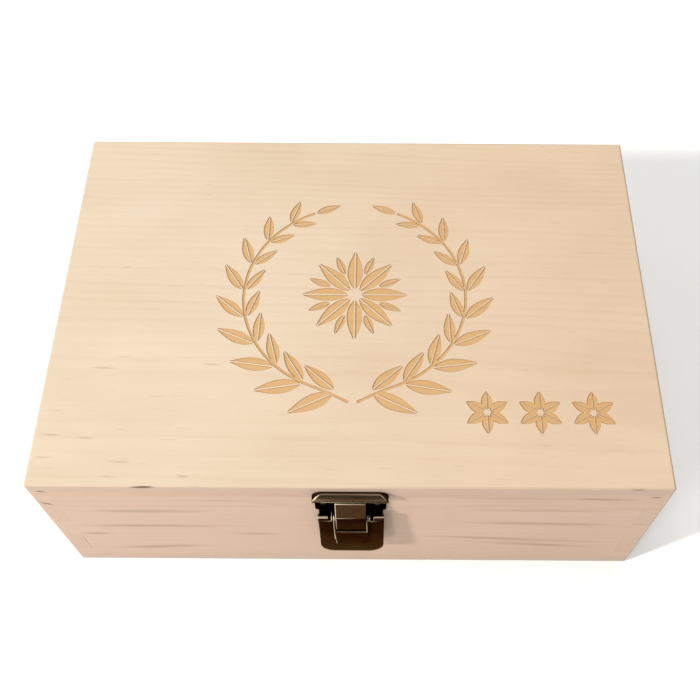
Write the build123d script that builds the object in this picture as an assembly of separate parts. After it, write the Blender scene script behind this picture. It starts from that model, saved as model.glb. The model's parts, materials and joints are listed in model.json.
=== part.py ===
from build123d import *
import math
import os

# A pine keepsake box with fixed compartments, a lid on two butt hinges and a toggle latch.
# Lengths are in millimetres. +X is to the right, the front faces -Y, and +Z is up.
# The origin is the centre of the underside. The box is drawn closed and latched.

# Wooden box
box_width = 300.0
box_depth = 210.0
box_height = 105.0
board_thickness = 10.0
top_panel_thickness = 6.5
bottom_panel_thickness = 6.5
lid_height = 25.0
finger_height = 21.0
corner_round = 1.2
parting_round = 0.6

# Compartments
divider_thickness = 5.0
divider_height = 58.0
divider_round = 1.0
housing_depth = 2.0
glue_gap = 0.1
papers_width = 165.0
small_compartments = 3

# Butt hinges on the back
hinge_spacing = 170.0
hinge_width = 30.0
leaf_height = 14.0
leaf_thickness = 1.2
leaf_corner = 2.5
knuckle_radius = 2.6
hinge_pin_radius = 1.2
hinge_pin_head_radius = 2.0
hinge_pin_head_height = 0.8
knuckle_gap = 0.3
barrel_gap = 0.3
leaf_screw_spacing = 18.0
lid_opening = 105.0
stop_thickness = 1.2
stop_gap = 0.25

# Screws, all one size
screw_radius = 1.0
screw_length = 8.0
screw_head_radius = 2.2
screw_head_height = 1.1
screw_hole_clearance = 0.15

# Sheet metal of the latch. "Proud" is measured out from the front of the box,
# and "depth" down from the top of the lid.
sheet = 0.9
running_clearance = 0.05
side_clearance = 0.2

# Latch keeper, on the lid
keeper_width = 34.0
keeper_top_depth = 4.6
keeper_foot_gap = 0.3
keeper_plate_thickness = 1.2
keeper_foot_corner = 1.5
bar_width = 36.0
bar_proud = 3.7
bar_height = 5.1
bar_shoulder_drop = 3.4
bar_bulge = 0.55
bar_corner = 5.0
ledge_width = 10.0
ledge_reach = 1.7
keeper_screw_spacing = 25.6
keeper_screw_depth = 16.4

# Latch base plate, on the base
plate_width = 31.0
plate_top_gap = 0.3
plate_length = 32.0
plate_thickness = 1.2
plate_corner = 2.0
ear_radius = 2.0
ear_foot_length = 7.0
plate_upper_screw_spacing = 10.0
plate_upper_screw_drop = 8.5
plate_lower_screw_drop = 26.0

# Latch lever
lever_width = 32.0
lever_top_proud = 4.8
lever_middle_proud = 5.6
lever_tip_proud = 7.5
lever_length = 39.2
lever_corner = 7.5
lever_flange_proud = 2.2
lever_flange_length = 19.0
rolled_edge_radius = 0.8
wing_width = 5.1
strap_slot_length = 23.5
ear_notch_gap = 0.4
lever_pin_radius = 1.1
lever_pin_proud = 3.7
lever_pin_drop = 3.2
cheek_radius = 2.0
cheek_length = 23.0
spine_proud = 1.2
spine_end_proud = 0.9
spine_length = 14.5
spine_slope_length = 5.0
spine_end_width = 14.4

# Latch strap
strap_width = 14.6
strap_top_gap = 0.8
strap_top_proud = 4.0
strap_bend_proud = 6.0
strap_bend_drop = 13.3
strap_pin_radius = 1.1
strap_pin_proud = 4.6
strap_pin_drop = 9.3
eye_radius = 1.9
eye_gap = 0.9
hook_wall_gap = 0.3
ledge_gap = 0.1

os.makedirs("parts", exist_ok=True)


# Places worked out from the sizes above
parting_z = box_height - lid_height
lid_frame_height = lid_height - top_panel_thickness
base_frame_height = parting_z - bottom_panel_thickness
inner_width = box_width - 2 * board_thickness
inner_depth = box_depth - 2 * board_thickness
front_y = -box_depth / 2
back_y = box_depth / 2
floor_z = bottom_panel_thickness
divider_x = -inner_width / 2 + papers_width + divider_thickness / 2
small_width = inner_width - papers_width - divider_thickness
small_depth = (inner_depth - (small_compartments - 1) * divider_thickness) / small_compartments
hinge_axis_y = back_y + knuckle_radius + barrel_gap
keeper_foot_depth = lid_height - keeper_foot_gap
plate_top_depth = lid_height + plate_top_gap
lever_pin_depth = lid_height + lever_pin_drop
lever_top_depth = lever_pin_depth - rolled_edge_radius
strap_pin_depth = lever_pin_depth + strap_pin_drop
bar_foot_depth = keeper_top_depth + bar_height
bar_shoulder_depth = keeper_top_depth + bar_shoulder_drop
strap_top_depth = bar_foot_depth + strap_top_gap
strap_bend_depth = strap_top_depth + strap_bend_drop
ledge_depth = strap_top_depth + sheet + ledge_gap
cheek_inner = strap_width / 2 + side_clearance
cheek_outer = cheek_inner + sheet
ear_inner = cheek_outer + side_clearance
ear_outer = ear_inner + sheet
spine_top_depth = strap_pin_depth + eye_radius + eye_gap


def block(width, depth, height, x=0.0, y=0.0, z=0.0):
    """A box centred on x and y, standing on z."""
    return Pos(x, y, z) * Box(width, depth, height, align=(Align.CENTER, Align.CENTER, Align.MIN))


def save(name, shape):
    """Write one node."""
    export_step(shape, f"parts/{name}.step")


# Wooden frame


def rounded_hull(height, z, lower_round, upper_round):
    """The outside of the base or the lid, with its arrises eased."""
    hull = block(box_width, box_depth, height, z=z)
    hull = fillet(hull.edges().filter_by(Axis.Z), corner_round)
    hull = fillet(hull.edges().group_by(Axis.Z)[0], lower_round)
    return fillet(hull.edges().group_by(Axis.Z)[-1], upper_round)


def corner_fingers(first):
    """Blocks at the four corners of the base for every second finger, from the parting line down."""
    blocks = []
    for index in range(first, math.ceil(base_frame_height / finger_height), 2):
        top = parting_z - index * finger_height
        foot = max(top - finger_height, floor_z)
        for x in (-1, 1):
            for y in (-1, 1):
                place_x = x * (box_width - board_thickness) / 2
                place_y = y * (box_depth - board_thickness) / 2
                blocks.append(block(board_thickness, board_thickness, top - foot, place_x, place_y, foot))
    return blocks


base_hull = rounded_hull(parting_z, 0.0, corner_round, parting_round)
lid_hull = rounded_hull(lid_height, parting_z, parting_round, corner_round)
side_fingers = corner_fingers(0)
face_fingers = corner_fingers(1)


def base_face_board(side):
    """The front (side -1) or back (side 1) board, less the side boards' fingers."""
    y = side * (box_depth - board_thickness) / 2
    board = block(box_width, board_thickness, base_frame_height, y=y, z=floor_z)
    return (board - side_fingers) & base_hull


def base_side_board(side):
    """The left (side -1) or right (side 1) board, less the front and back boards' fingers."""
    x = side * (box_width - board_thickness) / 2
    board = block(board_thickness, box_depth, base_frame_height, x=x, z=floor_z)
    return (board - face_fingers) & base_hull


def lid_face_rail(side):
    """The lid's front or back rail, over the full width."""
    y = side * (box_depth - board_thickness) / 2
    return block(box_width, board_thickness, lid_frame_height, y=y, z=parting_z) & lid_hull


def lid_side_rail(side):
    """The lid's left or right rail, butted between the front and back rails."""
    x = side * (box_width - board_thickness) / 2
    return block(board_thickness, inner_depth, lid_frame_height, x=x, z=parting_z) & lid_hull


bottom_panel = block(box_width, box_depth, bottom_panel_thickness) & base_hull
top_panel_z = parting_z + lid_frame_height
top_panel = block(box_width, box_depth, top_panel_thickness, z=top_panel_z) & lid_hull


# Compartments


def divider(length, x, y, turn):
    """A divider standing on the bottom panel, with its top arrises eased."""
    board = Box(length, divider_thickness, divider_height, align=(Align.CENTER, Align.CENTER, Align.MIN))
    top_edges = board.edges().group_by(Axis.Z)[-1].filter_by(Axis.X)
    return Pos(x, y, floor_z) * Rot(0, 0, turn) * fillet(top_edges, divider_round)


def housing(width, depth, x, y):
    """The groove that a divider's end is glued into."""
    return block(width, depth, divider_height + glue_gap, x, y, floor_z)


housing_width = divider_thickness + 2 * glue_gap
main_divider = divider(inner_depth + 2 * housing_depth, divider_x, 0.0, 90)
front_housing = housing(housing_width, housing_depth, divider_x, front_y + board_thickness - housing_depth / 2)
back_housing = housing(housing_width, housing_depth, divider_x, back_y - board_thickness + housing_depth / 2)

short_divider_x = inner_width / 2 - small_width / 2
short_divider_length = small_width + 2 * housing_depth
short_dividers = []
right_housings = []
divider_housings = []
for index in range(1, small_compartments):
    y = -inner_depth / 2 + index * small_depth + (index - 0.5) * divider_thickness
    short_dividers.append(divider(short_divider_length, short_divider_x, y, 0))
    right_x = (inner_width + housing_depth) / 2
    right_housings.append(housing(housing_depth, housing_width, right_x, y))
    left_x = divider_x + (divider_thickness - housing_depth) / 2
    divider_housings.append(housing(housing_depth, housing_width, left_x, y))

front_board = base_face_board(-1) - front_housing
back_board = base_face_board(1) - back_housing
left_board = base_side_board(-1)
right_board = base_side_board(1) - right_housings
main_divider = main_divider - divider_housings


# Screws


def screw(x, seat_y, z, outward):
    """A dome-headed screw in the front (outward -1) or back (outward 1), its head seated at seat_y."""
    ball = (screw_head_radius**2 + screw_head_height**2) / (2 * screw_head_height)
    head = Pos(0, 0, screw_head_height - ball) * Sphere(ball)
    head = head & Cylinder(screw_head_radius, screw_head_height, align=(Align.CENTER, Align.CENTER, Align.MIN))
    shank = Cylinder(screw_radius, screw_length, align=(Align.CENTER, Align.CENTER, Align.MAX))
    return Pos(x, seat_y, z) * Rot(-outward * 90, 0, 0) * (head + shank)


def screw_hole(x, z):
    """The clearance hole for a screw, through any plate on the front or the back."""
    hole = Cylinder(screw_radius + screw_hole_clearance, leaf_thickness + plate_thickness + sheet)
    return [Pos(x, y, z) * Rot(90, 0, 0) * hole for y in (front_y, back_y)]


# Butt hinges

leaf_foot_gap = knuckle_radius + barrel_gap
knuckle_length = (hinge_width - 2 * knuckle_gap) / 3


def knuckle(x, length, bore):
    """One knuckle of the hinge barrel."""
    barrel = Cylinder(knuckle_radius, length) - Cylinder(bore, length)
    return Pos(x, hinge_axis_y, parting_z) * Rot(0, 90, 0) * barrel


def leaf_plate(x, side):
    """A leaf on the back, above (side 1) or below (side -1) the parting line, up to its knuckles."""
    outline = RectangleRounded(hinge_width, leaf_height, leaf_corner)
    z = parting_z + side * (leaf_foot_gap + leaf_height / 2)
    plate = Plane.XZ.offset(-back_y) * Pos(x, z) * outline
    plate = extrude(plate, amount=-leaf_thickness)
    for hole_x in (x - leaf_screw_spacing / 2, x + leaf_screw_spacing / 2):
        plate = plate - screw_hole(hole_x, z)
    return plate


def leaf_neck(x, length, side):
    """The tongue of the leaf that wraps into a knuckle."""
    reach = leaf_foot_gap + leaf_corner
    neck = block(length, leaf_thickness, reach, x, back_y + barrel_gap + leaf_thickness / 2, 0)
    root = block(length, leaf_thickness + barrel_gap, leaf_corner, x, back_y + (leaf_thickness + barrel_gap) / 2, 0)
    if side > 0:
        neck = Pos(0, 0, parting_z) * neck
        root = Pos(0, 0, parting_z + leaf_foot_gap) * root
    else:
        neck = Pos(0, 0, parting_z - reach) * neck
        root = Pos(0, 0, parting_z - reach) * root
    return neck + root


def hinge(x):
    """The base leaf, the lid leaf and the pin of one hinge."""
    base_leaf = leaf_plate(x, -1)
    for side in (-1, 1):
        knuckle_x = x + side * (knuckle_length + knuckle_gap)
        base_leaf = base_leaf + knuckle(knuckle_x, knuckle_length, hinge_pin_radius)
        base_leaf = base_leaf + leaf_neck(knuckle_x, knuckle_length, -1)
    lid_leaf = leaf_plate(x, 1) + knuckle(x, knuckle_length, hinge_pin_radius + running_clearance)
    lid_leaf = lid_leaf + leaf_neck(x, knuckle_length, 1) + hinge_stop(x)
    pin = Cylinder(hinge_pin_radius, hinge_width)
    for side in (-1, 1):
        head = Cylinder(hinge_pin_head_radius, hinge_pin_head_height)
        pin = pin + Pos(0, 0, side * (hinge_width + hinge_pin_head_height) / 2) * head
    return base_leaf, lid_leaf, Pos(x, hinge_axis_y, parting_z) * Rot(0, 90, 0) * pin


def hinge_stop(x):
    """A tab on the lid's knuckle that meets the base leaf when the lid is fully open."""
    length = 2 * knuckle_radius
    rest = hinge_axis_y - back_y - leaf_thickness - stop_gap
    lean = math.degrees(math.asin((rest - stop_thickness / 2) / length))
    turn = 180 + lean - lid_opening
    foot = hinge_pin_radius + leaf_thickness / 2
    tab = block(knuckle_length, stop_thickness, length - foot, z=foot)
    return Pos(x, hinge_axis_y, parting_z) * Rot(-turn, 0, 0) * tab


left_hinge = hinge(-hinge_spacing / 2)
right_hinge = hinge(hinge_spacing / 2)

hinge_base_screws = []
hinge_lid_screws = []
leaf_face_y = back_y + leaf_thickness
leaf_middle = leaf_foot_gap + leaf_height / 2
for hinge_x in (-hinge_spacing / 2, hinge_spacing / 2):
    for screw_x in (hinge_x - leaf_screw_spacing / 2, hinge_x + leaf_screw_spacing / 2):
        hinge_base_screws.append(screw(screw_x, leaf_face_y, parting_z - leaf_middle, 1))
        hinge_lid_screws.append(screw(screw_x, leaf_face_y, parting_z + leaf_middle, 1))


# Latch


def point(proud, depth):
    """A point of the latch's side view, in Y and Z."""
    return (front_y - proud, box_height - depth)


def across(outline, half_width):
    """Carry a side view from -half_width to half_width."""
    return extrude(Plane.YZ * make_face(outline), amount=half_width, both=True)


def side_block(points, half_width):
    """Carry a side view of straight lines from -half_width to half_width."""
    return across(Polyline(*[point(*place) for place in points], close=True), half_width)


def side_plates(shape, inner, outer):
    """The parts of a shape that lie between inner and outer in X, on the left and on the right."""
    width = outer - inner
    plates = []
    for side in (-1, 1):
        x = side * (inner + outer) / 2
        plates.append(shape & block(width, 2 * box_depth, 2 * box_height, x=x))
    return plates


def rod(radius, length, proud, depth):
    """A round bar across the latch."""
    y, z = point(proud, depth)
    return Pos(0, y, z) * Rot(0, 90, 0) * Cylinder(radius, length)


def front_block(width, top_depth, foot_depth, top_corner, foot_corner):
    """A front view with rounded corners, carried through the latch from front to back."""
    outline = Rectangle(width, foot_depth - top_depth)
    if top_corner:
        outline = fillet(outline.vertices().group_by(Axis.Y)[-1], top_corner)
    if foot_corner:
        outline = fillet(outline.vertices().group_by(Axis.Y)[0], foot_corner)
    middle = box_height - (top_depth + foot_depth) / 2
    return extrude(Plane.XZ * Pos(0, middle) * outline, amount=box_depth, both=True)


def bar_outline(inset, back_points):
    """The side view of the keeper's rolled bar, or of the space inside it, closed along back_points."""
    start = point(keeper_plate_thickness, keeper_top_depth + inset)
    shoulder = point(bar_proud - inset, bar_shoulder_depth)
    foot = point(bar_proud - inset, bar_foot_depth + inset)
    slope_proud = (keeper_plate_thickness + bar_proud) / 2
    slope_depth = (keeper_top_depth + bar_shoulder_depth) / 2
    bulge = bar_bulge - inset * math.sqrt(0.5)
    crown = point(slope_proud + bulge, slope_depth - bulge)
    return [ThreePointArc(start, crown, shoulder), Polyline(shoulder, foot, *back_points, start)]


def latch_keeper():
    """The plate on the lid, with the rolled bar along its top and the ledge that the strap hooks over."""
    profile = [point(0, keeper_top_depth), point(keeper_plate_thickness, keeper_top_depth)]
    profile += [point(keeper_plate_thickness, keeper_foot_depth), point(0, keeper_foot_depth)]
    plate = across(Polyline(*profile, close=True), keeper_width / 2)
    plate = plate & front_block(keeper_width, keeper_top_depth, keeper_foot_depth, bar_corner, keeper_foot_corner)
    bar = across(bar_outline(0.0, [point(0, bar_foot_depth), point(0, keeper_top_depth)]), bar_width / 2)
    bar = bar & front_block(bar_width, keeper_top_depth, keeper_foot_depth, bar_corner, 0)
    inner_foot = point(keeper_plate_thickness, bar_foot_depth + sheet)
    hollow = across(bar_outline(sheet, [inner_foot]), bar_width / 2 - sheet)
    hollow_corner = bar_corner - sheet
    hollow = hollow & front_block(
        bar_width - 2 * sheet, keeper_top_depth + sheet, keeper_foot_depth, hollow_corner, 0
    )
    ledge_proud = keeper_plate_thickness + ledge_reach
    ledge = [(0, ledge_depth), (ledge_proud, ledge_depth), (ledge_proud, ledge_depth + sheet)]
    ledge = side_block(ledge + [(0, ledge_depth + sheet)], ledge_width / 2)
    keeper = plate + (bar - hollow) + ledge
    for x in (-keeper_screw_spacing / 2, keeper_screw_spacing / 2):
        keeper = keeper - screw_hole(x, box_height - keeper_screw_depth)
    return keeper


def latch_base_plate():
    """The plate on the base, with two ears for the lever's pin."""
    foot_depth = plate_top_depth + plate_length
    outline = [(0, plate_top_depth), (plate_thickness, plate_top_depth)]
    outline += [(plate_thickness, foot_depth), (0, foot_depth)]
    plate = side_block(outline, plate_width / 2)
    plate = plate & front_block(plate_width, plate_top_depth, foot_depth, plate_corner, plate_corner)
    ear_top = lever_pin_depth - ear_radius
    ear_foot = ear_top + ear_foot_length
    ear = [(0, ear_top), (lever_pin_proud, ear_top), (lever_pin_proud + ear_radius, lever_pin_depth)]
    ear = side_block(ear + [(lever_pin_proud, lever_pin_depth + ear_radius), (0, ear_foot)], ear_outer)
    ear = ear + rod(ear_radius, 2 * ear_outer, lever_pin_proud, lever_pin_depth)
    for ear_plate in side_plates(ear, ear_inner, ear_outer):
        plate = plate + ear_plate
    plate = plate - rod(lever_pin_radius, plate_width, lever_pin_proud, lever_pin_depth)
    for x, z in plate_screw_places:
        plate = plate - screw_hole(x, z)
    return plate


def lever_side(inset, back_points):
    """The side view of the lever's face, closed along the points behind it."""
    tip_depth = lever_top_depth + lever_length
    top = point(lever_top_proud - inset, lever_top_depth)
    middle = point(lever_middle_proud - inset, lever_top_depth + lever_length / 2)
    tip = point(lever_tip_proud - inset, tip_depth)
    return [ThreePointArc(top, middle, tip), Polyline(tip, *back_points, top)]


def lever_shell():
    """The lever's face with flanges folded back along both sides."""
    tip_depth = lever_top_depth + lever_length
    taper_depth = lever_top_depth + lever_flange_length
    back = [point(lever_tip_proud - sheet, tip_depth), point(lever_flange_proud, taper_depth)]
    back.append(point(lever_flange_proud, lever_top_depth))
    outer = across(lever_side(0.0, back), lever_width / 2)
    outer = outer & front_block(lever_width, lever_top_depth, tip_depth, 0, lever_corner)
    open_back = [point(0, tip_depth), point(0, lever_top_depth)]
    hollow = across(lever_side(sheet, open_back), lever_width / 2 - sheet)
    hollow_width = lever_width - 2 * sheet
    hollow = hollow & front_block(hollow_width, lever_top_depth, tip_depth, 0, lever_corner - sheet)
    return outer - hollow


def spine_block(inset, half_width):
    """The raised spine below the strap's eye, or the space inside it."""
    top = spine_top_depth
    shoulder = top + spine_length
    foot = shoulder + spine_slope_length
    root = lever_top_proud - sheet
    if inset:
        root = 0.0
    front = lever_middle_proud - inset
    outline = [(root, top), (front + spine_proud, top), (front + spine_proud + spine_end_proud, shoulder)]
    outline += [(front, foot), (root, foot)]
    return side_block(outline, half_width)


def spine_taper(inset):
    """A front view that narrows the spine towards its foot."""
    top_z = box_height - spine_top_depth
    foot_z = top_z - spine_length - spine_slope_length
    top_x = cheek_outer - inset
    foot_x = spine_end_width / 2 - inset
    corners = [(-top_x, top_z), (top_x, top_z), (foot_x, foot_z), (-foot_x, foot_z)]
    return extrude(Plane.XZ * make_face(Polyline(*corners, close=True)), amount=box_depth, both=True)


def lever_cheeks():
    """The two walls that carry both pins, from the lever's pin down into the spine."""
    foot = lever_pin_depth + cheek_length
    pin = lever_pin_proud
    face = lever_middle_proud + spine_proud
    outline = [(pin - cheek_radius, lever_pin_depth), (pin + cheek_radius, lever_pin_depth)]
    outline += [(face, strap_pin_depth - eye_radius), (face, foot), (pin, foot)]
    outline += [(lever_flange_proud, strap_pin_depth + eye_radius)]
    cheeks = side_block(outline, cheek_outer)
    cheeks = cheeks + rod(cheek_radius, 2 * cheek_outer, pin, lever_pin_depth)
    return side_plates(cheeks, cheek_inner, cheek_outer)


def latch_lever():
    """The lever: wings, raised spine, cheeks and rolled top edges in one pressing."""
    notch_half = lever_width / 2 - wing_width
    notch_foot = lever_pin_depth + ear_radius + ear_notch_gap
    ear_notch = front_block(2 * notch_half, 0, notch_foot, 0, 0)
    strap_slot = front_block(2 * cheek_inner, 0, lever_top_depth + strap_slot_length, 0, 0)
    lever = lever_shell() - ear_notch - strap_slot
    roll = rod(rolled_edge_radius, lever_width, lever_top_proud - rolled_edge_radius, lever_top_depth)
    for rolled_edge in side_plates(roll, notch_half, lever_width / 2):
        lever = lever + rolled_edge
    lever = lever + (spine_block(0.0, cheek_outer) & spine_taper(0.0))
    lever = lever - (spine_block(sheet, cheek_outer) & spine_taper(sheet))
    for cheek in lever_cheeks():
        lever = lever + cheek
    lever = lever - rod(lever_pin_radius + running_clearance, 2 * ear_outer, lever_pin_proud, lever_pin_depth)
    return lever - rod(strap_pin_radius, 2 * cheek_outer, strap_pin_proud, strap_pin_depth)


def latch_strap():
    """The strap: a hook over the ledge at its top, a bend, and an eye on its pin."""
    hook_proud = keeper_plate_thickness + hook_wall_gap
    eye_front = strap_pin_proud + eye_radius
    inner = [(eye_front - sheet, strap_pin_depth), (strap_bend_proud - sheet, strap_bend_depth)]
    inner += [(strap_top_proud - sheet, strap_top_depth + sheet), (hook_proud, strap_top_depth + sheet)]
    outer = [(hook_proud, strap_top_depth), (strap_top_proud, strap_top_depth)]
    outer += [(strap_bend_proud, strap_bend_depth), (eye_front, strap_pin_depth)]
    strap = side_block(inner + outer, strap_width / 2)
    strap = strap + rod(eye_radius, strap_width, strap_pin_proud, strap_pin_depth)
    return strap - rod(strap_pin_radius + running_clearance, strap_width, strap_pin_proud, strap_pin_depth)


plate_face_y = front_y - plate_thickness
plate_upper_screw_z = box_height - plate_top_depth - plate_upper_screw_drop
plate_lower_screw_z = box_height - plate_top_depth - plate_lower_screw_drop
plate_screw_places = [
    (-plate_upper_screw_spacing / 2, plate_upper_screw_z),
    (plate_upper_screw_spacing / 2, plate_upper_screw_z),
    (0.0, plate_lower_screw_z),
]
latch_plate_screws = [screw(x, plate_face_y, z, -1) for x, z in plate_screw_places]

keeper_face_y = front_y - keeper_plate_thickness
keeper_screw_z = box_height - keeper_screw_depth
keeper_screws = [
    screw(-keeper_screw_spacing / 2, keeper_face_y, keeper_screw_z, -1),
    screw(keeper_screw_spacing / 2, keeper_face_y, keeper_screw_z, -1),
]

lever_pin = rod(lever_pin_radius, 2 * ear_outer, lever_pin_proud, lever_pin_depth)
strap_pin = rod(strap_pin_radius, 2 * cheek_outer, strap_pin_proud, strap_pin_depth)


# Pilot holes in the wood, then every node is written

save("front_board", front_board - latch_plate_screws)
save("back_board", back_board - hinge_base_screws)
save("left_board", left_board)
save("right_board", right_board)
save("bottom_panel", bottom_panel)
save("main_divider", main_divider)
for index, short_divider in enumerate(short_dividers):
    save(f"short_divider_{index + 1}", short_divider)
save("lid_top_panel", top_panel)
save("lid_front_rail", lid_face_rail(-1) - keeper_screws)
save("lid_back_rail", lid_face_rail(1) - hinge_lid_screws)
save("lid_left_rail", lid_side_rail(-1))
save("lid_right_rail", lid_side_rail(1))
for name, pieces in (("left_hinge", left_hinge), ("right_hinge", right_hinge)):
    save(f"{name}_base_leaf", pieces[0])
    save(f"{name}_lid_leaf", pieces[1])
    save(f"{name}_pin", pieces[2])
save("hinge_base_screws", Compound(hinge_base_screws))
save("hinge_lid_screws", Compound(hinge_lid_screws))
save("latch_base_plate", latch_base_plate())
save("latch_lever", latch_lever())
save("latch_strap", latch_strap())
save("latch_lever_pin", lever_pin)
save("latch_strap_pin", strap_pin)
save("latch_plate_screws", Compound(latch_plate_screws))
save("latch_keeper", latch_keeper())
save("keeper_screws", Compound(keeper_screws))
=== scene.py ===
import json
import math

import bmesh
import bpy
from bpy.props import FloatProperty, FloatVectorProperty, IntProperty, PointerProperty
from mathutils import Matrix, Vector

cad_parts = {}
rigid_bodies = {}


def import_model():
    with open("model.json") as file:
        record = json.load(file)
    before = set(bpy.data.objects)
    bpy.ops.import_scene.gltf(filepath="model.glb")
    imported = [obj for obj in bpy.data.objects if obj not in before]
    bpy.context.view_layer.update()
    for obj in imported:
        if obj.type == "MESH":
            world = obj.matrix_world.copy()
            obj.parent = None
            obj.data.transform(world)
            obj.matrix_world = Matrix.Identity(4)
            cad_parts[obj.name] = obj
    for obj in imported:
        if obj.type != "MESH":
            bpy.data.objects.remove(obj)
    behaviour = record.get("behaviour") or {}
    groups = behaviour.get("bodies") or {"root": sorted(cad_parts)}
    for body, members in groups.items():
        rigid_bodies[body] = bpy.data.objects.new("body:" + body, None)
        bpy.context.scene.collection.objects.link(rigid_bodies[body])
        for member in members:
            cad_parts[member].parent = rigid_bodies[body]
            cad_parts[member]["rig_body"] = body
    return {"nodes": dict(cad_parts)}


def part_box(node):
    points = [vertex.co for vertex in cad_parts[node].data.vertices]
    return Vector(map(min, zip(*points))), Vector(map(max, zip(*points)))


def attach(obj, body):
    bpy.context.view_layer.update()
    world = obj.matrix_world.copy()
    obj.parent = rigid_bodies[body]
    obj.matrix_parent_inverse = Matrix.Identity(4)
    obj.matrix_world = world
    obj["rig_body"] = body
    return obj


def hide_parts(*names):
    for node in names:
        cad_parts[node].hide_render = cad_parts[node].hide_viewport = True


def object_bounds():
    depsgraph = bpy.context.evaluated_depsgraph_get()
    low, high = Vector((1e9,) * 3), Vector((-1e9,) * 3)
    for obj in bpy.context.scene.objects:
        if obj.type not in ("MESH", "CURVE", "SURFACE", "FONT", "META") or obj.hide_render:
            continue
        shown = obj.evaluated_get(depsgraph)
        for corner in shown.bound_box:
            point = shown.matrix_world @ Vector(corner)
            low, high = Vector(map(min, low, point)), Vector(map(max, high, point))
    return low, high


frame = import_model()
cad_low, cad_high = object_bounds()

bl_info = {
    "name": "Keepsake box finishes",
    "version": (1, 0, 0),
    "blender": (4, 5, 0),
    "location": "3D View > Sidebar > Keepsake box",
    "description": "Dresses a packed keepsake box in pine and antique bronze, and sets its stage",
    "category": "Object",
}

MM = 0.001


def linear(code):
    """An sRGB hex colour as linear red, green and blue."""
    channels = [int(code[start:start + 2], 16) / 255 for start in (0, 2, 4)]
    return tuple(c / 12.92 if c <= 0.04045 else ((c + 0.055) / 1.055) ** 2.4 for c in channels)


def colour(label, about, code):
    """A colour that the user can change."""
    return FloatVectorProperty(
        name=label, description=about, subtype="COLOR", size=3, min=0.0, max=1.0, default=linear(code)
    )


def length(label, about, default_mm):
    """A length that the user can change, kept in metres."""
    return FloatProperty(name=label, description=about, unit="LENGTH", precision=5, default=default_mm * MM)


def light(label, about, watts):
    """The power of a lamp that the user can change."""
    return FloatProperty(name=label, description=about, unit="POWER", min=0.0, default=watts)


class PineSettings(bpy.types.PropertyGroup):
    """Pine of the box"""

    early_wood: colour("Early wood", "Pale wood that grows in spring, on the boards", "B39A88")
    panel_wood: colour("Panel wood", "Pale wood of the lid's top panel, on its left", "C8B8A2")
    # Partly painted shade: the right of the top panel is painted warmer and darker, as the key light falls
    # off there
    heart_wood_and_shade: colour("Heart side", "Warmer wood of the lid's top panel, on its right", "C8B198")
    rim_wood: colour("Panel sides", "Darker wood on the sides of the lid's top panel", "A48C7C")
    foot_wood: colour("Bottom panel", "Paler wood of the bottom panel", "AC9B8E")
    late_wood: colour("Late wood", "Darker line at the end of each year's growth", "A8845F")
    streak_wood: colour("Streaks", "Brown resin streaks along the grain", "5E4630")
    end_wood: colour("End grain", "Sawn ends of the boards", "AE9581")
    # Painted light: the arris tone stands in for how the light falls on the rounded edge
    arris_light_tone: colour("Eased arris", "Rubbed arris round the lid's top panel", "AC9A86")
    ring_spacing: length("Ring spacing", "One year's growth", 4.2)
    wander: length("Ring wander", "How far the rings leave true circles", 7.0)
    edge_ease: length("Eased edge", "Chamfer where two boards meet", 0.22)


class EngravingSettings(bpy.types.PropertyGroup):
    """Engraved ornament on the lid"""

    burnt_wood: colour("Burnt wood", "Floor of the engraving", "B98E51")
    scorched_edge: colour("Scorched edge", "Darker burn beside the walls of the engraving", "9C7138")
    depth: length("Depth", "Depth of the engraving", 0.32)
    wreath_radius: length("Wreath radius", "From the middle of the wreath to its stems", 57.0)
    leaf_length: length("Leaf length", "The longest leaves of the wreath", 24.0)
    blade_width: length("Blade width", "Half a leaf, from its midrib to its edge", 3.7)
    midrib: length("Midrib", "Uncut strip along the middle of a leaf", 0.75)
    stem_width: length("Stem width", "The stems at their foot", 1.5)
    rosette_radius: length("Rosette radius", "The large rosette in the wreath", 27.0)
    small_radius: length("Small rosette radius", "Each rosette of the row at the front right", 11.5)
    petal_width: length("Small rosette petals", "Half a petal of the small rosettes", 6.2)
    small_spacing: length("Small rosette spacing", "From one rosette of the row to the next", 25.5)
    leaf_pairs: IntProperty(name="Leaf pairs", description="Pairs of leaves on each stem", min=3, default=9)


class BronzeSettings(bpy.types.PropertyGroup):
    """Antique bronze plating of the latch and the hinges"""

    plating: colour("Plating", "Dark antique bronze", "2F2011")
    brown_patch: colour("Brown patches", "Warmer patches in the plating", "39270F")
    # Painted light: a paler plating tone on faces that look up, as the light from above shows them
    top_lit_tone: colour("Handled plating", "Paler plating on faces that look up, where fingers rub it", "4B3A2B")
    # Bare bronze of worn edges, shown only on edges that face the key light: partly wear, partly a painted
    # highlight
    worn_lit_edge: colour("Worn edge", "Bare bronze where the plating is rubbed off", "C4B396")
    # Painted shade: the near-black tone painted into hollows and under the keeper's bar, where shade falls
    painted_shade: colour("Oxide", "Nearly black oxide left in the recesses", "120A06")
    edge_tint: colour("Edge tint", "Dims the plating seen at a low angle", "A8A8A8")
    edge_ease: length("Rounded edge", "Rounding of the stamped edges", 0.22)
    strap_ease: length("Rounded strap", "Rounding of the strap, which fingers rub most", 0.36)
    rubbed_width: length("Rubbed width", "How far from an edge the plating is worn", 0.5)


class ScrewSettings(bpy.types.PropertyGroup):
    """Cross-head screws"""

    head_height: length("Head height", "Height of the dome", 1.1)
    shank_radius: length("Shank radius", "Radius of the shank", 1.0)
    slot_width: length("Slot width", "Width of each arm of the cross", 0.62)
    slot_depth: length("Slot depth", "Depth of the cross", 0.75)


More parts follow.
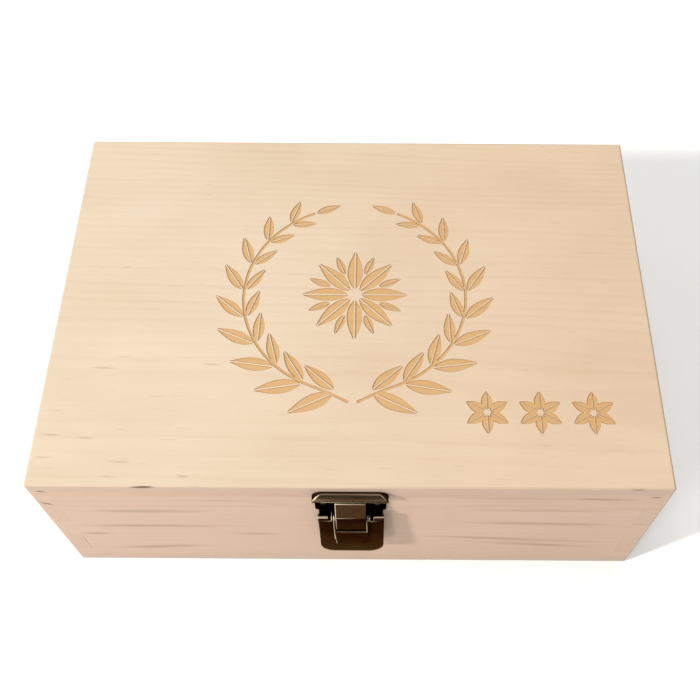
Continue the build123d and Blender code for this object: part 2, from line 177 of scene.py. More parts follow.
class StageSettings(bpy.types.PropertyGroup):
    """Floor, lights and camera"""

    floor: colour("Floor", "Plain pale floor", "F7F7F7")
    sky: colour("Room", "Light of the room all round", "FFFEFC")
    sky_strength: FloatProperty(name="Room strength", description="Light of the room", min=0.0, default=0.44)
    key_power: light("Key light", "Lamp low on the left", 57.5)
    window_power: light("Window light", "Soft light at the front left", 21.5)
    overhead_power: light("Overhead light", "Wide soft light above the box", 14.4)


# Working parts


def node(tree, kind, inputs=None, **settings):
    """Add one node, with its settings, and with each input set to a value or linked to another node."""
    made = tree.nodes.new(kind)
    for name, value in settings.items():
        setattr(made, name, value)
    for key, value in (inputs or {}).items():
        socket = made.inputs[key]
        if isinstance(value, bpy.types.Node):
            value = next(output for output in value.outputs if output.enabled)
        if isinstance(value, bpy.types.NodeSocket):
            tree.links.new(value, socket)
        else:
            socket.default_value = value
    return made


def maths(tree, operation, *values, **settings):
    """A sum on numbers, each of them a value, a socket or a node."""
    return node(tree, "ShaderNodeMath", dict(enumerate(values)), operation=operation, **settings)


def vectors(tree, operation, *values):
    """A sum on vectors, as the socket that gives its result."""
    made = node(tree, "ShaderNodeVectorMath", dict(enumerate(values)), operation=operation)
    return made.outputs["Value" if operation in ("LENGTH", "DOT_PRODUCT") else "Vector"]


def xyz(tree, x=0.0, y=0.0, z=0.0):
    """A vector put together from three numbers."""
    return node(tree, "ShaderNodeCombineXYZ", {0: x, 1: y, 2: z})


def span(tree, value, low, high, start=0.0, end=1.0, smooth=False):
    """A value that runs from low to high, made to run from start to end instead."""
    ends = {0: value, 1: low, 2: high, 3: start, 4: end}
    return node(tree, "ShaderNodeMapRange", ends, interpolation_type="SMOOTHSTEP" if smooth else "LINEAR")


def blend(tree, share, under, over):
    """A mix of two colours, each a setting or a socket."""
    pair = [tone if isinstance(tone, bpy.types.NodeSocket) else (*tone, 1.0) for tone in (under, over)]
    return node(tree, "ShaderNodeMix", {0: share, 6: pair[0], 7: pair[1]}, data_type="RGBA").outputs[2]


def put_in_scene(name, mesh):
    """A new object for a mesh, at the origin."""
    made = bpy.data.objects.new(name, mesh)
    bpy.context.scene.collection.objects.link(made)
    return made


# Edges that bend more than this are sharp, and bends of less than the second are flattened out
SHARP = math.radians(32)
FLAT = math.radians(0.5)
# Corners nearer than this are one
MERGE = 0.002 * MM
# A face is broad when its area is more than this times its outline
BROAD = 1 * MM
# A crest is a bend of at least this angle between faces of at least this area
CREST_BEND = math.radians(4)
CREST_AREA = 20 * MM**2
# Wooden edges, and the lever's, stay sharp where they meet an edge shorter than this
SHORT_EDGE = 0.15 * MM
# The upward part of the normal of a face that counts as level
LEVEL = 0.9999


def soften(mesh):
    """Smooth shading, with the sharper edges kept crisp and the broad faces kept flat."""
    mesh.shade_smooth()
    mesh.set_sharp_from_angle(angle=SHARP)
    for face in mesh.polygons:
        corners = [mesh.vertices[index].co for index in face.vertices]
        around = sum((here - there).length for here, there in zip(corners, corners[1:] + corners[:1]))
        face.use_smooth = face.area < BROAD * around


def is_crest(edge):
    """Whether an edge is a slight bend between two broad faces."""
    broad = min(face.calc_area() for face in edge.link_faces) > CREST_AREA
    return broad and CREST_BEND < edge.calc_face_angle() < SHARP


def eased_mesh(source, ease, crowded, second=0):
    """A merged copy of a CAD node's mesh, with its outer edges and its slight bends eased.

    Edges that meet one shorter than crowded stay sharp, because there is no room to ease them.
    The eased faces take the mesh's second material, where it has one.
    """
    mesh = source.data.copy()
    mesh.materials.clear()
    shape = bmesh.new()
    shape.from_mesh(mesh)
    bmesh.ops.remove_doubles(shape, verts=shape.verts, dist=MERGE)
    bmesh.ops.dissolve_limit(shape, angle_limit=FLAT, verts=shape.verts, edges=shape.edges)
    convex = [edge for edge in shape.edges if edge.is_manifold and edge.is_convex]
    edges = [edge for edge in convex if edge.calc_face_angle() > SHARP or is_crest(edge)]
    tight = {vert for edge in shape.edges if edge.calc_length() < crowded for vert in edge.verts}
    edges = [edge for edge in edges if not tight.intersection(edge.verts)]
    bmesh.ops.bevel(shape, geom=edges, offset=ease, segments=2, profile=0.5, affect="EDGES", material=second)
    shape.to_mesh(mesh)
    shape.free()
    soften(mesh)
    return mesh


def dressed(node_name, suffix, mesh):
    """Stand a new mesh in for a CAD node, on the same body."""
    piece = put_in_scene(f"{node_name}_{suffix}", mesh)
    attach(piece, frame["nodes"][node_name]["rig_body"])
    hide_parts(node_name)


def new_tree(name, sizes):
    """An empty Geometry Nodes tree with a geometry input, named sizes, a material and a geometry output."""
    tree = bpy.data.node_groups.new(name, "GeometryNodeTree")
    tree.interface.new_socket("Geometry", in_out="INPUT", socket_type="NodeSocketGeometry")
    for size in sizes:
        tree.interface.new_socket(size, in_out="INPUT", socket_type="NodeSocketFloat")
    tree.interface.new_socket("Material", in_out="INPUT", socket_type="NodeSocketMaterial")
    tree.interface.new_socket("Geometry", in_out="OUTPUT", socket_type="NodeSocketGeometry")
    return tree, tree.nodes.new("NodeGroupInput").outputs


def finish_tree(tree, given, result):
    """End a tree in real geometry with its material."""
    real = node(tree, "GeometryNodeRealizeInstances", {0: result})
    coated = node(tree, "GeometryNodeSetMaterial", {"Geometry": real, "Material": given["Material"]})
    node(tree, "NodeGroupOutput", {0: coated})


def grown(tree, source, values):
    """The plain mesh that a tree makes from a mesh."""
    holder = put_in_scene(tree.name, source)
    modifier = holder.modifiers.new(tree.name, "NODES")
    modifier.node_group = tree
    for item in tree.interface.items_tree:
        if item.in_out == "INPUT" and item.name in values:
            modifier[item.identifier] = values[item.name]
    seen = holder.evaluated_get(bpy.context.evaluated_depsgraph_get())
    mesh = bpy.data.meshes.new_from_object(seen)
    bpy.data.objects.remove(holder)
    return mesh


# Finishes

AXIS_TURN = {"X": (0.0, 0.0, 0.0), "Y": (0.0, 0.0, -math.pi / 2)}
AXIS = {"X": (1.0, 0.0, 0.0), "Y": (0.0, 1.0, 0.0)}
UP = (0.0, 0.0, 1.0)


def empty_material(name):
    """A new material and its tree, with no nodes in it."""
    material = bpy.data.materials.new(name)
    material.use_nodes = True
    material.node_tree.nodes.clear()
    return material, material.node_tree


def grain_noise(tree, log, along, across, detail, roughness=0.5):
    """Noise in a log that is stretched along the grain. along and across are its lengths in millimetres."""
    place = vectors(tree, "MULTIPLY", log, (1 / along, 1 / across, 1 / across))
    return node(tree, "ShaderNodeTexNoise", {
        "Vector": place, "Scale": 1.0, "Detail": detail, "Roughness": roughness,
    })


def late_lines(tree, log, look):
    """The darker line that ends each year's ring. The rings wander, and some years are stronger."""
    wander = grain_noise(tree, log, along=260, across=46, detail=2.0, roughness=0.45)
    reach = look.wander / MM
    bend = vectors(
        tree, "MULTIPLY_ADD", wander.outputs["Color"], (0.0, 2 * reach, 2 * reach), (0.0, -reach, -reach)
    )
    bent = vectors(tree, "ADD", log, bend)
    flat = vectors(tree, "MULTIPLY", bent, (0.0, 1.0, 1.0))
    years = maths(tree, "DIVIDE", vectors(tree, "LENGTH", flat), look.ring_spacing / MM)
    season = maths(tree, "FRACT", years)
    rise = span(tree, season, 0.35, 0.9, smooth=True)
    fall = span(tree, season, 0.9, 1.0, 1.0, 0.0, smooth=True)
    line = maths(tree, "MULTIPLY", rise, fall)
    year = maths(tree, "FLOOR", years)
    growth = node(tree, "ShaderNodeTexWhiteNoise", {"W": year}, noise_dimensions="1D")
    vigour = span(tree, growth.outputs["Value"], 0.0, 1.0, 0.15, 1.0)
    return maths(tree, "MULTIPLY", line, vigour)


def streak(start, end, across, half_width, strength):
    """A streak on a board's face from start to end, in millimetres. across is the face's other way."""
    start, end = Vector(start), Vector(end)
    middle = (start + end) / 2
    run = end - start
    half_length = run.length / 2
    if across == "Z":
        turn = (0.0, -math.atan2(run.z, run.x), 0.0)
        size = (half_length, half_width * 4, half_width)
    else:
        turn = (0.0, 0.0, math.atan2(run.y, run.x))
        size = (half_length, half_width, half_width * 4)
    return middle, turn, size, strength


def streak_marks(tree, log, shaken, fibres, streaks):
    """Faint resin ducts all over, and streaks in their own places, all broken up by the fibres."""
    ducts = grain_noise(tree, log, along=9, across=1.1, detail=1.0)
    duct = span(tree, ducts, 0.66, 0.78, smooth=True)
    marks = maths(tree, "MULTIPLY", duct, 0.12)
    for middle, angle, size, strength in streaks:
        near = node(tree, "ShaderNodeMapping", {
            "Vector": shaken, "Location": middle * MM, "Rotation": angle, "Scale": Vector(size) * MM,
        }, vector_type="TEXTURE")
        mark = span(tree, vectors(tree, "LENGTH", near), 0.1, 1.0, strength, 0.0, smooth=True)
        marks = maths(tree, "MAXIMUM", marks, mark)
    stringy = span(tree, fibres, 0.36, 0.6, 0.35, 1.0)
    return maths(tree, "MULTIPLY", marks, stringy)


def rim_tones(tree, surface, upright, look):
    """The top panel's darker sides, and its arris painted in the tone the light gives its rounding, told by
    how far a face leans from level.
    """
    sides = span(tree, upright, 0.85, 0.3)
    side_tone = blend(tree, 0.8, surface, look.rim_wood)
    surface = blend(tree, sides, surface, side_tone)
    # Painted light: faces leaning about 45 degrees, the arris, are painted in their own tone
    tilt = maths(tree, "ADD", upright, -0.86)
    off = maths(tree, "ABSOLUTE", tilt)
    arris = span(tree, off, 0.12, 0.02, 0.0, 0.6)
    return blend(tree, arris, surface, look.arris_light_tone)


def scorched(tree, surface, nap, burnt_wood, scorched_edge):
    """The burnt floor of the engraving, darker beside its walls."""
    corner = node(tree, "ShaderNodeAmbientOcclusion", {"Distance": 0.6 * MM}, samples=6, only_local=True)
    closeness = span(tree, corner.outputs["AO"], 0.5, 0.95, 0.55, 0.0)
    toned = blend(tree, 0.8, surface, burnt_wood)
    mottled = vectors(tree, "MULTIPLY", toned, nap)
    return blend(tree, closeness, mottled, scorched_edge)


def pine(name, wood, plan, top_panel=False, scorch=()):
    """Pine, planed and sanded and left bare, which scatters light softly and hardly shines.

    The rings are cylinders round a pith off the board, so faces show long lines and ends show arcs.
    The top panel turns warmer to the right, partly wood and partly painted shade, and has a rim of its own.
    scorch is the engraving's two tones.
    """
    grain, pith, lean, streaks, contrast = plan
    look = bpy.context.scene.box_pine
    material, tree = empty_material(name)
    place = node(tree, "ShaderNodeTexCoord")
    turn = Vector(AXIS_TURN[grain]) + Vector((0.0, lean[0], lean[1]))
    log = node(tree, "ShaderNodeMapping", {
        "Vector": place.outputs["Object"], "Location": pith, "Rotation": turn, "Scale": (1 / MM,) * 3,
    })
    late_line = late_lines(tree, log, look)
    # Fibres are 0.3 mm wide, drawn twice as wide so that they show
    fibres = grain_noise(tree, log, along=30, across=0.6, detail=3.0, roughness=0.6)
    tremble = vectors(tree, "MULTIPLY_ADD", fibres.outputs["Color"], (1.6 * MM,) * 3, (-0.8 * MM,) * 3)
    shaken = vectors(tree, "ADD", place.outputs["Object"], tremble)

    surface = wood
    if top_panel:
        width = node(tree, "ShaderNodeSeparateXYZ", {0: shaken})
        # Partly painted shade: the tone runs from left to right, as the key light from the left falls off
        across = span(tree, width.outputs["X"], HEART_SHADE_FROM * MM, HEART_SHADE_TO * MM)
        surface = blend(tree, across, wood, look.heart_wood_and_shade)
    clouds = grain_noise(tree, log, along=90, across=38, detail=2.0)
    cloud = span(tree, clouds, 0.3, 0.75, 0.0, 0.22)
    surface = blend(tree, cloud, surface, look.late_wood)
    ring_share = maths(tree, "MULTIPLY", late_line, contrast)
    surface = blend(tree, ring_share, surface, look.late_wood)
    facing = vectors(tree, "DOT_PRODUCT", place.outputs["Normal"], AXIS[grain])
    ends = span(tree, maths(tree, "ABSOLUTE", facing), 0.6, 0.95, 0.0, 0.65)
    surface = blend(tree, ends, surface, look.end_wood)
    if top_panel:
        upright = vectors(tree, "DOT_PRODUCT", place.outputs["Normal"], UP)
        surface = rim_tones(tree, surface, upright, look)
    marks = streak_marks(tree, log, shaken, fibres, streaks)
    surface = blend(tree, marks, surface, look.streak_wood)
    nap = span(tree, fibres, 0.2, 0.8, 0.955, 1.025)
    surface = vectors(tree, "MULTIPLY", surface, nap)
    if scorch:
        surface = scorched(tree, surface, nap, *scorch)

    relief = maths(tree, "MULTIPLY_ADD", late_line, 0.5, fibres)
    bump = node(tree, "ShaderNodeBump", {"Strength": 0.35, "Distance": 0.06 * MM, "Height": relief})
    sanded = node(tree, "ShaderNodeBsdfPrincipled", {
        "Base Color": surface, "Roughness": 0.62, "IOR": 1.5, "Specular IOR Level": 0.35, "Normal": bump,
    })
    node(tree, "ShaderNodeOutputMaterial", {"Surface": sanded})
    return material


# The way that rubbed edges face, up and to the left, which is also the way the key light comes from.
# Only edges that face it show bare metal, so their brightness is partly wear and partly a painted highlight
RUBBED_LIT_WAY = Vector((-0.75, -0.15, 0.64))


def bronze(name, look, rough, recess=(), eased=False):
    """Antique bronze plating on pressed steel, lacquered, so it is dark and satin with soft highlights.

    The plating is painted paler where a face looks up, as painted light from above. Edges are bare metal,
    real wear, but only where they face up and left towards the key light, so that is partly a painted
    highlight. Hollows, and the place past recess along Y and Z under the keeper's bar, are painted near
    black: painted shade.
    """
    material, tree = empty_material(name)
    place = node(tree, "ShaderNodeTexCoord")
    patches = node(tree, "ShaderNodeTexNoise", {
        "Vector": place.outputs["Object"], "Scale": 1 / (9 * MM), "Detail": 3.0, "Roughness": 0.6,
    })
    share = span(tree, patches, 0.35, 0.68)
    surface = blend(tree, share, look.plating, look.brown_patch)
    # Painted light: faces that look up are painted paler, as lit from above
    upright = vectors(tree, "DOT_PRODUCT", place.outputs["Normal"], UP)
    top_lit_share = span(tree, upright, 0.05, 0.18)
    surface = blend(tree, top_lit_share, surface, look.top_lit_tone)

    # Near an edge the rounded normal leans off the true one. Only outer edges are open to the room
    rounded = node(tree, "ShaderNodeBevel", {"Radius": look.rubbed_width}, samples=6)
    shape = node(tree, "ShaderNodeNewGeometry")
    level = vectors(tree, "DOT_PRODUCT", rounded, shape.outputs["True Normal"])
    near_edge = span(tree, level, 0.995, 0.93)
    hollow = node(tree, "ShaderNodeAmbientOcclusion", {"Distance": 1.5 * look.rubbed_width}, samples=6)
    outer = span(tree, hollow.outputs["AO"], 0.8, 0.97)
    worn = maths(tree, "MULTIPLY", near_edge, outer)
    # Bare metal only on edges that face the key light: real wear, and a painted highlight where the light
    # falls
    rubbed = vectors(tree, "DOT_PRODUCT", rounded, RUBBED_LIT_WAY)
    facing_key = span(tree, rubbed, 0.15, 0.45)
    bare = maths(tree, "MULTIPLY", 1.0 if eased else worn, facing_key)
    surface = blend(tree, bare, surface, look.worn_lit_edge)
    sheen = blend(tree, bare, look.edge_tint, (1.0, 1.0, 1.0))
    # Painted shade: where other faces are within 5 mm the plating is painted near black, as shade falls
    # there
    shade_reach = node(tree, "ShaderNodeAmbientOcclusion", {"Distance": 5 * MM}, samples=6)
    shade_share = span(tree, shade_reach.outputs["AO"], 0.45, 0.9, 0.95, 0.0)
    surface = blend(tree, shade_share, surface, look.painted_shade)
    if recess:
        depth, height = recess
        # Painted shade under the keeper's bar: the plates here are painted near black, and their reflection
        # is dimmed
        spot = node(tree, "ShaderNodeSeparateXYZ", {0: place.outputs["Object"]})
        deep = span(tree, spot.outputs["Y"], depth - 0.8 * MM, depth)
        below = span(tree, spot.outputs["Z"], height, height - 1 * MM)
        under_bar_shade = maths(tree, "MULTIPLY", deep, below)
        surface = blend(tree, under_bar_shade, surface, look.painted_shade)
        sheen = blend(tree, under_bar_shade, sheen, look.brown_patch)

    # Orange peel of the lacquer, 0.5 mm from crest to crest
    peel = node(tree, "ShaderNodeTexNoise", {
        "Vector": place.outputs["Object"], "Scale": 1 / (0.5 * MM), "Detail": 2.0,
    })
    gloss = span(tree, patches, 0.3, 0.7, rough - 0.05, rough + 0.07)
    bump = node(tree, "ShaderNodeBump", {
        "Strength": 0.2, "Distance": 0.02 * MM, "Height": peel, "Normal": rounded,
    })
    metal = node(tree, "ShaderNodeBsdfPrincipled", {
        "Base Color": surface, "Metallic": 1.0, "Roughness": gloss, "Normal": bump, "Specular Tint": sheen,
    })
    node(tree, "ShaderNodeOutputMaterial", {"Surface": metal})
    return material


# Places in millimetres, read from the frame

PANEL_LOW, PANEL_HIGH = [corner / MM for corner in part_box("lid_top_panel")]
FRONT_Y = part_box("front_board")[0].y / MM
LEFT_X = PANEL_LOW.x
RIGHT_X = PANEL_HIGH.x
TOP_Z = PANEL_HIGH.z

# The top panel's wood turns warmer and a little darker from the first of these to the second:
# partly its heart side, partly painted shade where the key light from the left falls off
HEART_SHADE_FROM = LEFT_X + 40
HEART_SHADE_TO = RIGHT_X - 60

# The middle of the wreath, and the middle of the row of small rosettes
WREATH_CENTRE = (0.5, 1.0)
ROW_CENTRE = (RIGHT_X - 59.5, PANEL_LOW.y + 39.0)


def front_streak(from_left, from_top, to_left, to_top, half_width, strength):
    """A streak on the front, given from the left end and down from the top."""
    start = (LEFT_X + from_left, FRONT_Y, TOP_Z - from_top)
    end = (LEFT_X + to_left, FRONT_Y, TOP_Z - to_top)
    return streak(start, end, "Z", half_width, strength)


def top_streak(from_left, from_back, size, half_width, strength):
    """A streak on the top, given from the left end and from the back, with its length."""
    y = PANEL_HIGH.y - from_back
    start = (LEFT_X + from_left, y, TOP_Z)
    end = (LEFT_X + from_left + size, y - size * 0.03, TOP_Z)
    return streak(start, end, "Y", half_width, strength)


def arris_streak(from_left, size, half_width, strength):
    """A streak along the front edge of the top, given from the left end, with its length."""
    start = (LEFT_X + from_left, FRONT_Y, TOP_Z)
    end = (LEFT_X + from_left + size, FRONT_Y, TOP_Z)
    return streak(start, end, "Y", half_width, strength)


TOP_STREAKS = [
    top_streak(19, 147.6, 18, 0.7, 0.48),
    top_streak(75, 145.4, 12, 0.6, 0.4),
    top_streak(2, 184, 13, 0.7, 0.44),
    top_streak(19, 185.5, 12, 0.7, 0.44),
    top_streak(35, 197.6, 15, 0.6, 0.4),
    top_streak(34, 205.2, 9, 0.5, 0.36),
    top_streak(51, 163.4, 11, 0.6, 0.28),
    top_streak(27, 87.6, 8, 0.6, 0.32),
    top_streak(32, 141.4, 10, 0.5, 0.28),
    top_streak(57, 186, 14, 0.5, 0.24),
    top_streak(69, 204.6, 8, 0.6, 0.36),
    top_streak(1, 171, 14, 0.6, 0.28),
    top_streak(1, 195.5, 12, 0.6, 0.36),
    top_streak(4, 201, 11, 0.5, 0.32),
    top_streak(36, 181, 9, 0.45, 0.28),
    top_streak(261, 76.4, 30, 0.6, 0.24),
    top_streak(276, 95.4, 8, 0.6, 0.24),
    top_streak(254, 56.6, 8, 0.7, 0.2),
    arris_streak(47, 15, 0.6, 4.0),
    arris_streak(276, 12, 0.5, 1.4),
]
RAIL_STREAKS = [
    front_streak(-40, 9, 340, 9, 5, 0.2),
    front_streak(172, 12.2, 294, 12.6, 2.4, 0.31),
    front_streak(240, 11.6, 294, 13.4, 1.9, 0.63),
    front_streak(3, 6.4, 10, 7.4, 0.9, 1.3),
    front_streak(289, 9.6, 297, 9.9, 0.9, 1.3),
    front_streak(1, 20, 9, 24.5, 1.3, 1.3),
    front_streak(56, 17.5, 120, 17, 1.9, 0.2),
    front_streak(100, 20, 128, 21, 2, 0.22),
    front_streak(180, 21.4, 268, 20.6, 2, 0.2),
    front_streak(196, 16.6, 262, 16.8, 1.4, 0.17),
]
FRONT_STREAKS = [
    front_streak(10, 31.6, 92, 31.4, 2.46, 0.55),
    front_streak(2, 51.6, 98, 52.2, 2.46, 0.55),
    front_streak(8, 63.6, 30, 63.8, 2.24, 0.6),
    front_streak(84, 62.4, 118, 63.6, 2.13, 0.41),
    front_streak(14, 87, 84, 80.2, 3.02, 0.48),
    front_streak(198, 27.6, 292, 27.8, 2.46, 0.41),
    front_streak(196, 44.2, 294, 47.4, 2.8, 0.6),
    front_streak(168, 63, 290, 73.4, 2.46, 0.55),
    front_streak(204, 72.6, 288, 81.6, 2.8, 0.46),
    front_streak(1, 24.2, 9, 28.6, 1.2, 1.3),
    front_streak(289, 28.2, 298, 28.8, 1.1, 1.3),
]

# Each board's grain direction, the place of its log's pith in millimetres, how the board leans in the log,
# its streaks, and how strongly its rings show
BOARDS = {
    "front_board": ("X", (40.0, 62.0, 18.0), (0.004, 0.006), FRONT_STREAKS, 0.2),
    "lid_front_rail": ("X", (300.0, 70.0, -60.0), (0.004, 0.006), RAIL_STREAKS, 0.2),
    "back_board": ("X", (900.0, -52.0, -20.0), (-0.02, 0.012), (), 0.5),
    "lid_back_rail": ("X", (600.0, -48.0, -70.0), (0.01, -0.01), (), 0.5),
    "left_board": ("Y", (210.0, -108.0, -52.0), (0.02, 0.01), (), 0.5),
    "lid_left_rail": ("Y", (520.0, -90.0, -120.0), (-0.01, 0.02), (), 0.45),
    "right_board": ("Y", (730.0, 100.0, -10.0), (-0.016, 0.0), (), 0.5),
    "lid_right_rail": ("Y", (80.0, 92.0, -60.0), (0.012, 0.01), (), 0.45),
}
PANELS = {"bottom_panel": ("X", (120.0, 30.0, 46.0), (0.0, 0.02), (), 0.3)}
DIVIDERS = {
    "main_divider": ("Y", (400.0, 60.0, -30.0), (0.02, 0.0), (), 0.45),
    "short_divider_1": ("X", (250.0, 20.0, -60.0), (0.02, 0.01), (), 0.45),
    "short_divider_2": ("X", (820.0, -70.0, -44.0), (-0.01, 0.01), (), 0.45),
}
TOP_PLACE = ("X", (180.0, 60.0, -66.0), (0.0, 0.03))
TOP_PANEL = (*TOP_PLACE, TOP_STREAKS, 0.12)
ENGRAVED_PANEL = (*TOP_PLACE, (), 0.5)


class BOX_OT_boards(bpy.types.Operator):
    """Dress the boards, the bottom panel and the dividers in pine, with the edges of the boards and the
    bottom panel eased
    """

    bl_idname = "keepsake_box.boards"
    bl_label = "Pine boards"

    def execute(self, context):
        look = context.scene.box_pine
        for slot, group, wood in (
            ("pine_board", BOARDS, look.early_wood), ("pine_panel", PANELS, look.foot_wood),
        ):
            for name, plan in group.items():
                mesh = eased_mesh(frame["nodes"][name], look.edge_ease, SHORT_EDGE)
                title = name.replace("_", " ")
                mesh.materials.append(pine(f"Planed pine, {title}", wood, plan))
                dressed(name, "wood", mesh)
        # The dividers keep their own meshes, and only take the material
        for name, plan in DIVIDERS.items():
            title = name.replace("_", " ")
            finish = pine(f"Planed pine, {title}", look.early_wood, plan)
            for held in frame["nodes"][name].material_slots:
                held.material = finish
        return {"FINISHED"}


# Engraved lid


def leaf_tree():
    """A tree that cuts a two-bladed leaf at each point, turned and sized by the point's own values."""
    tree, given = new_tree("Engraved leaves", ["Length", "Blade width", "Midrib", "Depth"])
    bar = node(tree, "GeometryNodeMeshCube", {"Vertices X": 2, "Vertices Y": 13, "Vertices Z": 2})
    spot = node(tree, "ShaderNodeSeparateXYZ", {0: node(tree, "GeometryNodeInputPosition")})
    along = maths(tree, "ADD", spot.outputs["Y"], 0.5, use_clamp=True)
    sideways = maths(tree, "ADD", spot.outputs["X"], 0.5)
    # The power moves the widest place a little towards the leaf's foot
    skew = maths(tree, "POWER", along, 0.82)
    swell = maths(tree, "SINE", maths(tree, "MULTIPLY", skew, math.pi))
    width = maths(tree, "MULTIPLY_ADD", swell, given["Blade width"], 0.02 * MM)
    rib = maths(tree, "MULTIPLY", given["Midrib"], 0.5)
    x = maths(tree, "MULTIPLY_ADD", sideways, width, rib)
    y = maths(tree, "MULTIPLY", along, given["Length"])
    thick = maths(tree, "MULTIPLY", given["Depth"], 2.0)
    z = maths(tree, "MULTIPLY", spot.outputs["Z"], thick)
    shaped = xyz(tree, x, y, z)
    blade = node(tree, "GeometryNodeSetPosition", {"Geometry": bar.outputs["Mesh"], "Position": shaped})
    other = node(tree, "GeometryNodeTransform", {"Geometry": blade, "Scale": (-1.0, 1.0, 1.0)})
    other = node(tree, "GeometryNodeFlipFaces", {0: other})
    leaf = node(tree, "GeometryNodeJoinGeometry", {0: blade})
    tree.links.new(other.outputs[0], leaf.inputs[0])
    turn = node(tree, "GeometryNodeInputNamedAttribute", {"Name": "turn"}, data_type="FLOAT")
    size = node(tree, "GeometryNodeInputNamedAttribute", {"Name": "size"}, data_type="FLOAT")
    turned = xyz(tree, z=turn.outputs["Attribute"])
    scaled = xyz(tree, size.outputs["Attribute"], size.outputs["Attribute"], 1.0)
    leaves = node(tree, "GeometryNodeInstanceOnPoints", {
        "Points": given["Geometry"], "Instance": leaf, "Rotation": turned, "Scale": scaled,
    })
    finish_tree(tree, given, leaves)
    return tree


def stem_tree():
    """A tree that cuts a groove along a line, tapered by each point's own value."""
    tree, given = new_tree("Engraved stems", ["Width", "Depth"])
    path = node(tree, "GeometryNodeMeshToCurve", {0: given["Geometry"]})
    taper = node(tree, "GeometryNodeInputNamedAttribute", {"Name": "size"}, data_type="FLOAT")
    thin = node(tree, "GeometryNodeSetCurveRadius", {"Curve": path, "Radius": taper.outputs["Attribute"]})
    upright = node(tree, "GeometryNodeSetCurveNormal", {"Curve": thin}, mode="Z_UP")
    thick = maths(tree, "MULTIPLY", given["Depth"], 2.0)
    section = node(tree, "GeometryNodeCurvePrimitiveQuadrilateral", {
        "Width": given["Width"], "Height": thick,
    })
    groove = node(tree, "GeometryNodeCurveToMesh", {
        "Curve": upright, "Profile Curve": section, "Fill Caps": True,
    })
    finish_tree(tree, given, groove)
    return tree


def points_mesh(name, rows, edges=()):
    """A mesh of points in millimetres, each with its turn and size."""
    mesh = bpy.data.meshes.new(name)
    mesh.from_pydata([Vector(row[0]) * MM for row in rows], edges, [])
    turn = mesh.attributes.new("turn", "FLOAT", "POINT")
    size = mesh.attributes.new("size", "FLOAT", "POINT")
    turn.data.foreach_set("value", [row[1] for row in rows])
    size.data.foreach_set("value", [row[2] for row in rows])
    return mesh


def on_circle(centre, radius, angle):
    """A point on the top of the lid, round a centre."""
    return (centre[0] + radius * math.cos(angle), centre[1] + radius * math.sin(angle), TOP_Z)


# Where each stem of the wreath starts and ends, as angles round the wreath on its right side
STEM_FOOT, STEM_TIP = math.radians(-88), math.radians(67)
LEAF_FOOT, LEAF_TIP = math.radians(-82), math.radians(68)
LEAF_SPLAY = math.radians(34)
# From a stem to the foot of its leaves, and how far a stem's foot swings outwards, in millimetres
LEAF_GAP = 1.9
FOOT_SWING = 5.0


def wreath_leaves(look):
    """Leaves in pairs along two stems that rise from the foot of the wreath and leave it open at the top."""
    rows = []
    radius = look.wreath_radius / MM
    for side in (-1, 1):
        for index in range(look.leaf_pairs + 1):
            share = index / look.leaf_pairs
            angle = LEAF_FOOT + (LEAF_TIP - LEAF_FOOT) * share
            if side < 0:
                angle = math.pi - angle
            place = on_circle(WREATH_CENTRE, radius, angle)
            heading = angle + side * math.pi / 2 - math.pi / 2
            size = 1.0 - 0.42 * share
            if index == look.leaf_pairs:
                rows.append((place, heading, size))
                continue
            for lean in (-1, 1):
                turned = heading + lean * LEAF_SPLAY
                start = Vector(place) + Vector((-math.sin(turned), math.cos(turned), 0.0)) * LEAF_GAP
                inner = 0.84 if lean == side else 1.0
                rows.append((start, turned, size * inner))
    return rows


def wreath_stems(look):
    """The two stems, as points from foot to tip."""
    rows = []
    edges = []
    radius = look.wreath_radius / MM
    steps = 48
    for side in (-1, 1):
        for index in range(steps + 1):
            share = index / steps
            angle = STEM_FOOT + (STEM_TIP - STEM_FOOT) * share
            swing = FOOT_SWING * max(0.0, 1 - share * 8) ** 2
            if side < 0:
                angle = math.pi - angle
            if index:
                edges.append((len(rows) - 1, len(rows)))
            rows.append((on_circle(WREATH_CENTRE, radius + swing, angle), 0.0, 1.0 - 0.65 * share))
    return rows, edges


def petals(centre, inner, outer, leaf_length, count, start):
    """A ring of petals round a centre, from the inner radius to the outer."""
    rows = []
    for index in range(count):
        angle = start + 2 * math.pi * index / count
        place = on_circle(centre, inner, angle)
        rows.append((place, angle - math.pi / 2, (outer - inner) / leaf_length))
    return rows


def carved_with(panel, cutter_mesh):
    """The panel's mesh with a cutter's shape cut out of it, in the cutter's material."""
    cutter = put_in_scene("cutter", cutter_mesh)
    cut = panel.modifiers.new("Engraving", "BOOLEAN")
    cut.object = cutter
    cut.solver = "EXACT"
    cut.use_self = True
    cut.material_mode = "TRANSFER"
    seen = panel.evaluated_get(bpy.context.evaluated_depsgraph_get())
    carved = bpy.data.meshes.new_from_object(seen)
    panel.modifiers.clear()
    bpy.data.objects.remove(cutter)
    return carved


